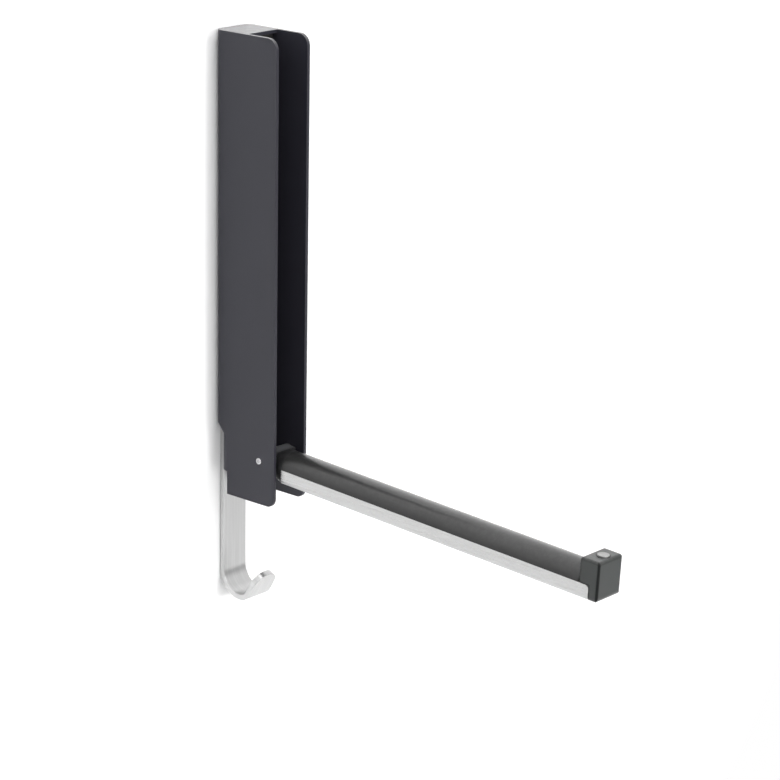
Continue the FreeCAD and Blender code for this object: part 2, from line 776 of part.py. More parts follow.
def makeEndCap():
    body = armBody("end_cap")
    end = -size["arm_length"]
    toe = size["cap_toe"]
    over = barTop + size["seam"]
    lower = -(barEnd + size["seam"])
    side = newSketch(body, "CapProfile", "YZ_Plane")
    brow = size["cap_brow"]
    drawOutline(side, [
        (lower, barLow), (lower, over), (-coverEnd, over),
        (-coverEnd, size["cap_top"] - brow), (-coverEnd - brow, size["cap_top"]),
        (end + brow, size["cap_top"]), (end, size["cap_top"] - brow), (end, barLow),
    ], {3: (brow, 1), 5: (brow, 1)})
    pad(body, "Cap", side, size["arm_width"], middle=True)

    edges = (armHalf.value, end.value, -coverEnd.value)

    def outsideCorner(edge):
        box = edge.BoundBox
        upright = near(abs(box.XMin), edges[0]) and near(box.XMin, box.XMax)
        ends = near(box.YMin, box.YMax) and any(near(box.YMin, y) for y in edges[1:])
        return upright and ends
    body.Placement = Placement()
    roundEdges(body, "UprightCorners", size["cap_edge"], outsideCorner)

    # round under the nose and along both lower edges, which carry on the channel's bends
    beyond = barLow - toe
    nose = newSketch(body, "NoseUnderside", "YZ_Plane")
    drawOutline(nose, [(end, barLow + toe), (end + toe, barLow), (end + toe, beyond),
                       (end - toe, beyond), (end - toe, barLow + toe)], {0: (toe, 1)})
    pocket(body, "RoundNose", nose, size["arm_width"] * through, middle=True)
    bend = size["bar_bend"]
    outer = armHalf + bend
    lowerEdges = newSketch(body, "LowerEdges", "XZ_Plane", size["arm_length"])
    drawOutline(lowerEdges, [(-armHalf, barLow + bend), (bend - armHalf, barLow),
                             (bend - armHalf, beyond), (-outer, beyond),
                             (-outer, barLow + bend)], {0: (bend, 1)})
    drawOutline(lowerEdges, [(armHalf - bend, barLow), (armHalf, barLow + bend),
                             (outer, barLow + bend), (outer, beyond),
                             (armHalf - bend, beyond)], {0: (bend, 1)})
    pocket(body, "RoundLowerEdges", lowerEdges, size["cap_length"] * through, middle=True)

    plug = newSketch(body, "PlugOutline", "XZ_Plane", barEnd - size["plug_length"])
    drawOutline(plug, rectangle(-tenonHalf, tenonHalf, barFloor, over))
    pad(body, "Plug", plug, size["plug_length"] + toe)

    straightHole(body, "MagnetSeat", zero, -magnetAt,
                 magnetFace - size["magnet_length"], drivenUp,
                 size["magnet_width"] + size["thread_slack"] * 2, size["magnet_length"])
    straightHole(body, "Thread", zero, -(barEnd - size["cap_screw_back"]), barFloor, drivenUp,
                 size["small_thread"] + size["thread_slack"] * 2, barTop - barFloor - size["snug"] * 2)
    lowerArm(body)

    magnet = primitive("Cylinder", "arm_magnet", Rotation(Vector(1, 0, 0), size["droop"].value),
                       Radius=size["magnet_width"] / 2, Height=size["magnet_length"])
    magnet.Label = "arm_magnet"
    bind(magnet, "Placement.Rotation.Angle", size["droop"])
    armPlace(magnet, magnetAt, magnetFace - size["magnet_length"])


# ---------------------------------------------------------------- screws

def makeScrew(label, family, turn):
    """Countersunk socket screw, its head top at the origin, driven along +Z before its turn."""
    thread = size[family + "_thread"] / 2
    head = size[family + "_head"] / 2
    length = size[family + "_length"]
    cone = primitive("Cone", label + "_head", Radius1=head, Radius2=thread, Height=head - thread)
    shank = primitive("Cylinder", label + "_shank", Radius=thread, Height=length)
    solid = doc.addObject("Part::Fuse", label + "_solid")
    solid.Base = cone
    solid.Tool = shank
    socket = primitive("Prism", label + "_socket", Height=head - thread)
    socket.Polygon = 6
    bind(socket, "Circumradius", size[family + "_socket"] / cosine(asSize(30)) / 2)
    screw = doc.addObject("Part::Cut", label)
    screw.Base = solid
    screw.Tool = socket
    screw.Label = label
    screw.Placement = Placement(Vector(), turn)
    return screw


def makeScrews():
    sink = size["head_sink"]
    for number, label in enumerate(("strip_screw_lower", "strip_screw_upper")):
        screw = makeScrew(label, "large", drivenFromWall)
        moveTo(screw, zero, -sink, stripScrewZ + size["strip_screw_pitch"] * number)
    for number, label in enumerate(("keeper_screw_upper", "keeper_screw_lower")):
        screw = makeScrew(label, "small", drivenFromWall)
        moveTo(screw, zero, -sink, keeperScrewZ - size["keeper_screw_pitch"] * number)
    reaches = {
        "head_screw_inner": size["head_screw_start"],
        "head_screw_outer": size["head_screw_start"] + size["head_screw_pitch"],
        "cap_screw": barEnd - size["cap_screw_back"],
    }
    for label, reach in reaches.items():
        screw = makeScrew(label, "small", Rotation(Vector(1, 0, 0), size["droop"].value))
        bind(screw, "Placement.Rotation.Angle", size["droop"])
        armPlace(screw, reach, barLow + sink)


# ---------------------------------------------------------------- build and write

makeHousing()
makeHookStrip()
makeStopBlock()
makeKeeperBlock()
makeHingePin()
makeBush("hinge_bush_left", -1)
makeBush("hinge_bush_right", 1)
makeHingeHead()
makeArmChannel()
makeArmCover()
makeEndCap()
makeScrews()
doc.recompute()

nodes = [
    "housing", "hook_strip", "stop_block", "keeper_block", "keeper_disc", "hinge_pin",
    "hinge_bush_left", "hinge_bush_right", "hinge_head", "arm_channel", "arm_cover",
    "end_cap", "arm_magnet", "strip_screw_lower", "strip_screw_upper",
    "keeper_screw_upper", "keeper_screw_lower", "head_screw_inner", "head_screw_outer",
    "cap_screw",
]

for item in doc.Objects:
    if "Invalid" in item.State or "Error" in item.State:
        raise RuntimeError("%s failed: %s" % (item.Name, item.State))

pieces = {item.Label: item for item in doc.Objects if item.Label in nodes}
for node in nodes:
    shape = pieces[node].Shape
    if shape.isNull() or not shape.isValid() or len(shape.Solids) != 1:
        raise RuntimeError("%s is not one sound solid" % node)

os.makedirs("parts", exist_ok=True)
for node in nodes:
    pieces[node].Shape.exportStep("parts/%s.step" % node)
    box = pieces[node].Shape.BoundBox
    print("%-20s volume %9.2f  X %.2f..%.2f  Y %.2f..%.2f  Z %.2f..%.2f" % (
        node, pieces[node].Shape.Volume, box.XMin, box.XMax, box.YMin, box.YMax, box.ZMin, box.ZMax))
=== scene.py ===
import json
import math

import bpy
from mathutils import Matrix, Vector

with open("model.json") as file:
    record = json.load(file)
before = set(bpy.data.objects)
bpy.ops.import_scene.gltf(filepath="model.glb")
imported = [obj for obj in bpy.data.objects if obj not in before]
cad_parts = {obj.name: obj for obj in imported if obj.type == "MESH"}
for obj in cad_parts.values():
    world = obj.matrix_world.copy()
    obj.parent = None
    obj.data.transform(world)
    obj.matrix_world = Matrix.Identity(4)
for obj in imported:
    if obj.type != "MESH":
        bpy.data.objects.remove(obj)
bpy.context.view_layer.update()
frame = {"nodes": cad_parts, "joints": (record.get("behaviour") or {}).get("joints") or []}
nodes = frame["nodes"]
hinge = next(joint for joint in frame["joints"] if joint["name"] == "arm_hinge")
print("valet: loaded", len(nodes), "nodes")


# node helpers: a socket takes a plain value or another node's output

def plug(tree, socket, value):
    if isinstance(value, bpy.types.NodeSocket):
        tree.links.new(value, socket)
    else:
        socket.default_value = value


def addNode(tree, kind, settings=None, **sockets):
    node = tree.nodes.new(kind)
    for name, value in (settings or {}).items():
        setattr(node, name, value)
    for name, value in sockets.items():
        plug(tree, node.inputs[name.replace("_", " ")], value)
    return node


def calculate(tree, operation, *values, clamp=False):
    node = addNode(tree, "ShaderNodeMath", {"operation": operation, "use_clamp": clamp})
    for socket, value in zip(node.inputs, values):
        plug(tree, socket, value)
    return node.outputs["Value"]


def calculateVector(tree, operation, *values):
    node = addNode(tree, "ShaderNodeVectorMath", {"operation": operation})
    for socket, value in zip(node.inputs, values):
        plug(tree, socket, value)
    return node


def stretch(tree, value, start, end, low=0.0, high=1.0):
    # the range from start to end, stretched to the range from low to high
    node = addNode(tree, "ShaderNodeMapRange", Value=value, From_Min=start, From_Max=end,
                   To_Min=low, To_Max=high)
    return node.outputs["Result"]


noiseMiddle = 0.5  # noise lies about evenly on both sides of this


def swing(tree, value, amount, about, clamp=False):
    # moves about up and down with a noise value
    centred = calculate(tree, "SUBTRACT", value, noiseMiddle)
    return calculate(tree, "MULTIPLY_ADD", centred, amount, about, clamp=clamp)


def noise(tree, vector, scale, detail, roughness):
    node = addNode(tree, "ShaderNodeTexNoise", Vector=vector, Scale=scale, Detail=detail,
                   Roughness=roughness)
    return node.outputs["Fac"]


mixSockets = {"FLOAT": (2, 3, 0), "RGBA": (6, 7, 2)}  # first, second, result


def mix(tree, kind, share, first, second):
    node = addNode(tree, "ShaderNodeMix", {"data_type": kind}, Factor=share)
    firstSocket, secondSocket, result = mixSockets[kind]
    plug(tree, node.inputs[firstSocket], first)
    plug(tree, node.inputs[secondSocket], second)
    return node.outputs[result]


def mixShaders(tree, share, first, second):
    node = addNode(tree, "ShaderNodeMixShader", Fac=share)
    for socket, shader in zip(node.inputs[1:], (first, second)):
        plug(tree, socket, shader)
    return node.outputs["Shader"]


def axisOf(tree, vector, axis):
    return addNode(tree, "ShaderNodeSeparateXYZ", Vector=vector).outputs[axis]


def opaque(colour):
    return (*colour, 1)


def grey(tone):
    return opaque((tone, tone, tone))


def newGroup(name, inputs, outputs):
    group = bpy.data.node_groups.new(name, "ShaderNodeTree")
    for label, kind, default in inputs:
        socket = group.interface.new_socket(label, in_out="INPUT", socket_type=kind)
        if default is not None:
            socket.default_value = default
    for label, kind in outputs:
        group.interface.new_socket(label, in_out="OUTPUT", socket_type=kind)
    return group, group.nodes.new("NodeGroupInput").outputs


def closeGroup(group, **results):
    leave = group.nodes.new("NodeGroupOutput")
    for name, value in results.items():
        plug(group, leave.inputs[name], value)
    return group


def placeGroup(tree, group, values):
    node = tree.nodes.new("ShaderNodeGroup")
    node.node_tree = group
    for name, value in values.items():
        plug(tree, node.inputs[name], value)
    return node.outputs


def newMaterial(name):
    material = bpy.data.materials.new(name)
    material.use_nodes = True
    tree = material.node_tree
    shader = tree.nodes["Principled BSDF"]
    return material, tree, shader


def finishShader(tree, shader, values):
    for name, value in values.items():
        plug(tree, shader.inputs[name], value)


def dress(material, *names):
    for name in names:
        slots = nodes[name].data.materials
        slots.clear()
        slots.append(material)


# shared effects

edgeSamples = 6  # rays per softened edge


def makeRoundedEdges():
    # the normal softened over a small radius, and a mask that is 1 on edges, where the edge colour
    # goes
    group, given = newGroup(
        "roundedEdges",
        [("Radius", "NodeSocketFloat", 0.0003), ("Sharpness", "NodeSocketFloat", 12.0)],
        [("Normal", "NodeSocketVector"), ("Edge", "NodeSocketFloat")])
    bevel = addNode(group, "ShaderNodeBevel", {"samples": edgeSamples}, Radius=given["Radius"])
    geometry = addNode(group, "ShaderNodeNewGeometry")
    alike = calculateVector(group, "DOT_PRODUCT", bevel.outputs["Normal"], geometry.outputs["Normal"])
    away = calculate(group, "SUBTRACT", 1.0, alike.outputs["Value"])
    edge = calculate(group, "MULTIPLY", away, given["Sharpness"], clamp=True)
    return closeGroup(group, Normal=bevel.outputs["Normal"], Edge=edge)


coatTexture = {
    "peel": {"detail": 3.0, "roughness": 0.6},
    "drift": {"scale": 28.0, "detail": 4.0, "roughness": 0.55},
    "smudge": {"scale": 95.0, "detail": 5.0, "roughness": 0.65},
    "speckScale": 2600.0, "speckSize": 0.16, "speckColour": (0.45, 0.45, 0.46),
}


def makeSatinCoat():
    # sprayed coat: fine orange peel, slow tone drift, faint pale specks
    group, given = newGroup(
        "satinCoat",
        [("Vector", "NodeSocketVector", None), ("Colour", "NodeSocketColor", grey(0.02)),
         ("Drift", "NodeSocketFloat", 0.12), ("Speck", "NodeSocketFloat", 0.02),
         ("Roughness", "NodeSocketFloat", 0.35), ("Spread", "NodeSocketFloat", 0.06),
         ("Peel", "NodeSocketFloat", 0.00002), ("Peel Scale", "NodeSocketFloat", 1500.0),
         ("Normal", "NodeSocketVector", None)],
        [("Colour", "NodeSocketColor"), ("Roughness", "NodeSocketFloat"),
         ("Normal", "NodeSocketVector")])
    place = given["Vector"]
    peel = noise(group, place, given["Peel Scale"], **coatTexture["peel"])
    bump = addNode(group, "ShaderNodeBump", Strength=1.0, Distance=given["Peel"], Height=peel,
                   Normal=given["Normal"])
    drift = noise(group, place, **coatTexture["drift"])
    tone = swing(group, drift, given["Drift"], 1.0)
    tinted = addNode(group, "ShaderNodeVectorMath", {"operation": "SCALE"},
                     Vector=given["Colour"], Scale=tone)
    cells = addNode(group, "ShaderNodeTexVoronoi", Vector=place, Scale=coatTexture["speckScale"])
    dots = stretch(group, cells.outputs["Distance"], 0.0, coatTexture["speckSize"], 1.0, 0.0)
    specks = calculate(group, "MULTIPLY", dots, given["Speck"])
    colour = mix(group, "RGBA", specks, tinted.outputs["Vector"], opaque(coatTexture["speckColour"]))
    smudge = noise(group, place, **coatTexture["smudge"])
    rough = swing(group, smudge, given["Spread"], given["Roughness"], clamp=True)
    return closeGroup(group, Colour=colour, Roughness=rough, Normal=bump.outputs["Normal"])


grainTexture = {
    "fine": {"scale": 1.0, "detail": 4.0, "roughness": 0.7},
    "wide": {"scale": 0.23, "detail": 2.0, "roughness": 0.5},
    "wideShare": 0.4, "darkest": 0.3, "palest": 0.7,
}


def makeBrushedGrain():
    # long hairlines: the vector is squeezed along the grain before it comes in
    group, given = newGroup(
        "brushedGrain",
        [("Vector", "NodeSocketVector", None), ("Dark", "NodeSocketColor", grey(0.5)),
         ("Pale", "NodeSocketColor", opaque((0.68, 0.68, 0.67))),
         ("Roughness", "NodeSocketFloat", 0.28), ("Spread", "NodeSocketFloat", 0.16),
         ("Depth", "NodeSocketFloat", 0.000004), ("Normal", "NodeSocketVector", None)],
        [("Colour", "NodeSocketColor"), ("Roughness", "NodeSocketFloat"),
         ("Normal", "NodeSocketVector")])
    fine = noise(group, given["Vector"], **grainTexture["fine"])
    wide = noise(group, given["Vector"], **grainTexture["wide"])
    lines = mix(group, "FLOAT", grainTexture["wideShare"], fine, wide)
    share = stretch(group, lines, grainTexture["darkest"], grainTexture["palest"])
    colour = mix(group, "RGBA", share, given["Dark"], given["Pale"])
    rough = swing(group, lines, given["Spread"], given["Roughness"], clamp=True)
    bump = addNode(group, "ShaderNodeBump", Strength=1.0, Distance=given["Depth"], Height=lines,
                   Normal=given["Normal"])
    return closeGroup(group, Colour=colour, Roughness=rough, Normal=bump.outputs["Normal"])


dustAndSheenTexture = {
    "veilNoise": {"scale": 420.0, "detail": 6.0, "roughness": 0.75}, "bareTo": 0.42, "fullFrom": 0.7,
    "steep": 0.12, "level": 0.75, "colour": (0.55, 0.54, 0.52),
}


def makeDustAndTopSheen():
    # a thin pale veil on faces that look up while the arm is down: dust, and where the amount is
    # large (housing) a painted sheen that makes upward faces lighter
    group, given = newGroup(
        "dustAndTopSheen",
        [("Vector", "NodeSocketVector", None), ("Colour", "NodeSocketColor", grey(0.02)),
         ("Amount", "NodeSocketFloat", 0.05)],
        [("Colour", "NodeSocketColor"), ("Facing", "NodeSocketFloat")])
    own = addNode(group, "ShaderNodeTexCoord")
    facing = stretch(group, axisOf(group, own.outputs["Normal"], "Z"),
                     dustAndSheenTexture["steep"], dustAndSheenTexture["level"])
    veilNoise = noise(group, given["Vector"], **dustAndSheenTexture["veilNoise"])
    cover = stretch(group, veilNoise, dustAndSheenTexture["bareTo"], dustAndSheenTexture["fullFrom"])
    veilOnTop = calculate(group, "MULTIPLY", facing, cover)
    share = calculate(group, "MULTIPLY", veilOnTop, given["Amount"])
    colour = mix(group, "RGBA", share, given["Colour"], opaque(dustAndSheenTexture["colour"]))
    return closeGroup(group, Colour=colour, Facing=facing)


def makeTurningRings():
    # tool rings round an axis along X, so only Y and Z count, and a darker centre
    group, given = newGroup(
        "turningRings",
        [("Vector", "NodeSocketVector", None), ("Scale", "NodeSocketFloat", 300.0),
         ("Centre", "NodeSocketFloat", 0.0004)],
        [("Mask", "NodeSocketFloat")])
    flat = calculateVector(group, "MULTIPLY", given["Vector"], (0, 1, 1)).outputs["Vector"]
    reach = calculateVector(group, "LENGTH", flat).outputs["Value"]
    rings = addNode(group, "ShaderNodeTexWave", {"wave_type": "RINGS", "rings_direction": "X"},
                    Vector=flat, Scale=given["Scale"])
    middle = calculate(group, "LESS_THAN", reach, given["Centre"])
    return closeGroup(group, Mask=calculate(group, "MAXIMUM", rings.outputs["Fac"], middle))


roundedEdges = makeRoundedEdges()
satinCoat = makeSatinCoat()
brushedGrain = makeBrushedGrain()
dustAndTopSheen = makeDustAndTopSheen()
turningRings = makeTurningRings()
print("valet: shared effects made")


# finishes

def heelReflectionColour(tree, place, colour, heelReflection):
    # painted reflection: paler behind a line across the piece, standing in for the light band the
    # heel of the head shows
    behind = stretch(tree, axisOf(tree, place["Object"], "Y"), heelReflection["from"], heelReflection["to"])
    return mix(tree, "RGBA", behind, colour, opaque(heelReflection["colour"]))


def cornerReflectionMask(tree, place, corner):
    # painted dark reflection: 1 where an upright corner turns from a side to the front, where the
    # edge colour paints a dark line
    size = calculateVector(tree, "ABSOLUTE", place["Normal"])
    turn = addNode(tree, "ShaderNodeSeparateXYZ", Vector=size.outputs["Vector"])
    lesser = calculate(tree, "MINIMUM", turn.outputs["X"], turn.outputs["Y"])
    return stretch(tree, lesser, corner["from"], corner["to"])


def layLacquer(tree, shader, facing, edge, lacquer):
    # a clear coat that builds up on top and thins on edges
    build = calculate(tree, "MULTIPLY_ADD", facing, lacquer["top"], lacquer["all"], clamp=True)
    thin = stretch(tree, edge, 0.0, 1.0, 1.0, lacquer["edge"])
    weight = calculate(tree, "MULTIPLY", build, thin)
    finishShader(tree, shader, {"Coat Weight": weight, "Coat Roughness": lacquer["roughness"]})


def coatMaterial(name, look):
    material, tree, shader = newMaterial(name)
    place = addNode(tree, "ShaderNodeTexCoord").outputs
    edges = placeGroup(tree, roundedEdges, {"Radius": look["edgeRadius"], "Sharpness": look["edgeSharpness"]})
    coat = placeGroup(tree, satinCoat, {
        "Vector": place["Object"], "Normal": edges["Normal"], "Colour": opaque(look["colour"]),
        "Drift": look["drift"], "Speck": look["speck"], "Roughness": look["roughness"],
        "Spread": look["spread"], "Peel": look["peel"], "Peel Scale": look["peelScale"]})
    colour = coat["Colour"]
    if "heelReflection" in look:
        colour = heelReflectionColour(tree, place, colour, look["heelReflection"])
    edge = edges["Edge"]
    if "corner" in look:
        edge = calculate(tree, "MAXIMUM", edge, cornerReflectionMask(tree, place, look["corner"]))
    # edge colour: worn paint on most pieces, a painted highlight on the housing and a painted dark
    # reflection on the cap
    edgeWearAndLight = mix(tree, "RGBA", edge, colour, opaque(look["edgeColour"]))
    dustAndSheen = placeGroup(tree, dustAndTopSheen, {"Vector": place["Object"], "Colour": edgeWearAndLight,
                                          "Amount": look["dustAndSheen"]})
    finishShader(tree, shader, {"Base Color": dustAndSheen["Colour"], "Roughness": coat["Roughness"],
                                "Normal": coat["Normal"], "IOR": look["ior"]})
    if "lacquer" in look:
        layLacquer(tree, shader, dustAndSheen["Facing"], edge, look["lacquer"])
    return material


steelEdgeSharpness = 6.0  # bare metal shows its rim sooner than paint


def steelMaterial(name, look):
    material, tree, shader = newMaterial(name)
    place = addNode(tree, "ShaderNodeTexCoord").outputs["Object"]
    squeezed = addNode(tree, "ShaderNodeMapping", Vector=place, Scale=look["grain"])
    edges = placeGroup(tree, roundedEdges, {"Radius": look["edgeRadius"], "Sharpness": steelEdgeSharpness})
    grain = placeGroup(tree, brushedGrain, {
        "Vector": squeezed.outputs["Vector"], "Normal": edges["Normal"],
        "Dark": opaque(look["dark"]), "Pale": opaque(look["pale"]),
        "Roughness": look["roughness"], "Spread": look["spread"], "Depth": look["depth"]})
    colour = grain["Colour"]
    if "rings" in look:
        rings = look["rings"]
        centred = addNode(tree, "ShaderNodeMapping", Vector=place,
                          Location=[-value for value in rings["about"]])
        mask = placeGroup(tree, turningRings, {"Vector": centred.outputs["Vector"],
                                               "Scale": rings["scale"], "Centre": rings["centre"]})
        colour = mix(tree, "RGBA", mask["Mask"], colour, opaque(rings["tone"]))
    rim = mix(tree, "RGBA", edges["Edge"], colour, opaque(look["rim"]))
    finishShader(tree, shader, {"Base Color": rim, "Roughness": grain["Roughness"],
                                "Normal": grain["Normal"], "Metallic": 1.0})
    return material


# Lengths are in metres. Edge sharpness is how soon an edge takes its edge colour, worn paint on most
# pieces and painted light on some, and lacquer gives the clear coat's weight all over, what it gains
# on top, and the share of it left on edges.
# housing: the pale edge colour is a painted highlight along the sheet edges, and the large dust
# amount is mostly a painted sheen that lightens upward faces such as the top plate
housingPaint = {
    "colour": (0.0315, 0.0312, 0.0420), "edgeColour": (0.065, 0.065, 0.07), "edgeSharpness": 3.0,
    "edgeRadius": 0.00035, "drift": 0.10, "speck": 0.012, "roughness": 0.38, "spread": 0.07,
    "peel": 0.000012, "peelScale": 1300.0, "dustAndSheen": 0.18, "ior": 1.4,
    "lacquer": {"all": 0.0, "top": 1.0, "edge": 1.0, "roughness": 0.25},
}
armPaint = {
    "colour": (0.025, 0.025, 0.025), "edgeColour": (0.028, 0.028, 0.028), "edgeSharpness": 3.0,
    "edgeRadius": 0.00025, "drift": 0.05, "speck": 0.012, "roughness": 0.38, "spread": 0.03,
    "peel": 0.000010, "peelScale": 1500.0, "dustAndSheen": 0.02, "ior": 1.34,
    "lacquer": {"all": 0.0, "top": 1.0, "edge": 1.0, "roughness": 0.25},
}
headPaint = {
    "colour": (0.016, 0.016, 0.017), "edgeColour": (0.022, 0.022, 0.023), "edgeSharpness": 3.0,
    "edgeRadius": 0.00025, "drift": 0.15, "speck": 0.010, "roughness": 0.44, "spread": 0.08,
    "peel": 0.000012, "peelScale": 1200.0, "dustAndSheen": 0.04, "ior": 1.34,
    "lacquer": {"all": 0.0, "top": 0.45, "edge": 1.0, "roughness": 0.34},
    # painted reflection: the heel of the head, behind this line, is paler to copy the light band it
    # shows
    "heelReflection": {"colour": (0.115, 0.117, 0.125), "from": -0.0315, "to": -0.0290},
}
# cap: the near-black edge colour, on its edges and on the upright corners, is a painted dark
# reflection line
capPlastic = {
    "colour": (0.038, 0.042, 0.041), "edgeColour": (0.005, 0.006, 0.006), "edgeSharpness": 14.0,
    "edgeRadius": 0.0015, "drift": 0.10, "speck": 0.02, "roughness": 0.40, "spread": 0.06,
    "peel": 0.000022, "peelScale": 2400.0, "dustAndSheen": 0.10, "ior": 1.28,
    "lacquer": {"all": 0.48, "top": 0.3, "edge": 0.0, "roughness": 0.36},
    "corner": {"from": 0.05, "to": 0.35},
}
stopPlastic = {
    "colour": (0.060, 0.060, 0.063), "edgeColour": (0.07, 0.07, 0.073), "edgeSharpness": 2.0,
    "edgeRadius": 0.0003, "drift": 0.15, "speck": 0.02, "roughness": 0.42, "spread": 0.08,
    "peel": 0.00002, "peelScale": 2000.0, "dustAndSheen": 0.10, "ior": 1.45,
    "lacquer": {"all": 0.0, "top": 0.5, "edge": 1.0, "roughness": 0.35},
}
innerPlastic = {
    "colour": (0.022, 0.022, 0.022), "edgeColour": (0.03, 0.03, 0.03), "edgeSharpness": 2.0,
    "edgeRadius": 0.0002, "drift": 0.15, "speck": 0.02, "roughness": 0.55, "spread": 0.08,
    "peel": 0.00002, "peelScale": 2000.0, "dustAndSheen": 0.08, "ior": 1.45,
}
bushPlastic = {
    "colour": (0.10, 0.10, 0.10), "edgeColour": (0.13, 0.13, 0.13), "edgeSharpness": 2.0,
    "edgeRadius": 0.0001, "drift": 0.1, "speck": 0.01, "roughness": 0.4, "spread": 0.05,
    "peel": 0.000006, "peelScale": 1800.0, "dustAndSheen": 0.0, "ior": 1.45,
}
# Grain is how many noise cells a metre holds along X, Y and Z: few along the brushing.
# the strip's dark rim is painted shade: its narrow sides mirror the shadowed wall beside it
stripSteel = {
    "dark": (0.50, 0.50, 0.50), "pale": (0.66, 0.66, 0.66), "rim": (0.43, 0.43, 0.43),
    "grain": (5200.0, 40.0, 40.0), "edgeRadius": 0.0004, "roughness": 0.30, "spread": 0.08,
    "depth": 0.000002,
}
# the bar's rim, paler than its grain, is a painted highlight along its edges
barSteel = {
    "dark": (0.47, 0.47, 0.47), "pale": (0.56, 0.56, 0.56), "rim": (0.60, 0.60, 0.60),
    "grain": (4200.0, 40.0, 4200.0), "edgeRadius": 0.00025, "roughness": 0.28, "spread": 0.18,
    "depth": 0.000003,
}
# the pin's dark rim is a painted shadow of the gap round its end
pinSteel = {
    "dark": (0.50, 0.50, 0.51), "pale": (0.72, 0.72, 0.73), "rim": (0.22, 0.22, 0.23),
    "grain": (900.0, 2400.0, 2400.0), "edgeRadius": 0.00015, "roughness": 0.25, "spread": 0.15,
    "depth": 0.000003,
    "rings": {"about": hinge["pos_m"], "scale": 260.0, "centre": 0.0003, "tone": (0.36, 0.36, 0.37)},
}
nickelPlate = {
    "dark": (0.33, 0.33, 0.33), "pale": (0.44, 0.44, 0.43), "rim": (0.34, 0.34, 0.34),
    "grain": (1400.0, 1400.0, 1400.0), "edgeRadius": 0.0002, "roughness": 0.30, "spread": 0.12,
    "depth": 0.000003,
}
screwSteel = {
    "dark": (0.40, 0.40, 0.40), "pale": (0.62, 0.62, 0.61), "rim": (0.30, 0.30, 0.30),
    "grain": (1800.0, 1800.0, 1800.0), "edgeRadius": 0.0001, "roughness": 0.30, "spread": 0.15,
    "depth": 0.000003,
}
screws = [name for name in nodes if "screw" in name]

dress(coatMaterial("housingPaint", housingPaint), "housing")
dress(coatMaterial("armPaint", armPaint), "arm_cover")
dress(coatMaterial("headPaint", headPaint), "hinge_head")
dress(coatMaterial("capPlastic", capPlastic), "end_cap")
dress(coatMaterial("stopPlastic", stopPlastic), "stop_block")
dress(coatMaterial("innerPlastic", innerPlastic), "keeper_block")
dress(coatMaterial("bushPlastic", bushPlastic), "hinge_bush_left", "hinge_bush_right")
dress(steelMaterial("stripSteel", stripSteel), "hook_strip")
dress(steelMaterial("barSteel", barSteel), "arm_channel")
dress(steelMaterial("pinSteel", pinSteel), "hinge_pin")
dress(steelMaterial("nickelPlate", nickelPlate), "arm_magnet", "keeper_disc")
dress(steelMaterial("screwSteel", screwSteel), *screws)
print("valet: finishes on")


# stage

# lengths in metres, from the valet's origin; the hole values are the wall's opening behind it
stage = {
    "wallGap": 0.0001, "wallSize": 6.0, "floorDrop": 0.42, "floorDepth": 1.5, "floorGap": 0.012,
    "white": 0.90, "mottle": 0.005, "mottleNoise": {"scale": 3.0, "detail": 4.0, "roughness": 0.5},
    "wallGlow": 0.30, "floorGlow": 0.50, "glowReach": 1.1,
    "contactReach": 0.007, "contactSamples": 12, "contactDepth": 3.5,
    "shadeTop": 0.094, "shadeEnd": 0.100, "whiteFrom": 0.30, "whiteTo": 0.55, "skin": 0.0008,
    "holeHalfWide": 0.0065, "holeTop": 0.097, "holeStep": -0.069, "stripHalfWide": 0.005,
    "holeFoot": -0.136,
}


def contactShade(tree, place):
    # dark in the narrow gap beside the valet, but not above its top
    near = addNode(tree, "ShaderNodeAmbientOcclusion", {"samples": stage["contactSamples"]},
                   Distance=stage["contactReach"])
    deepened = calculate(tree, "POWER", near.outputs["AO"], stage["contactDepth"])
    above = stretch(tree, axisOf(tree, place, "Z"), stage["shadeTop"], stage["shadeEnd"])
    return calculate(tree, "MAXIMUM", deepened, above)


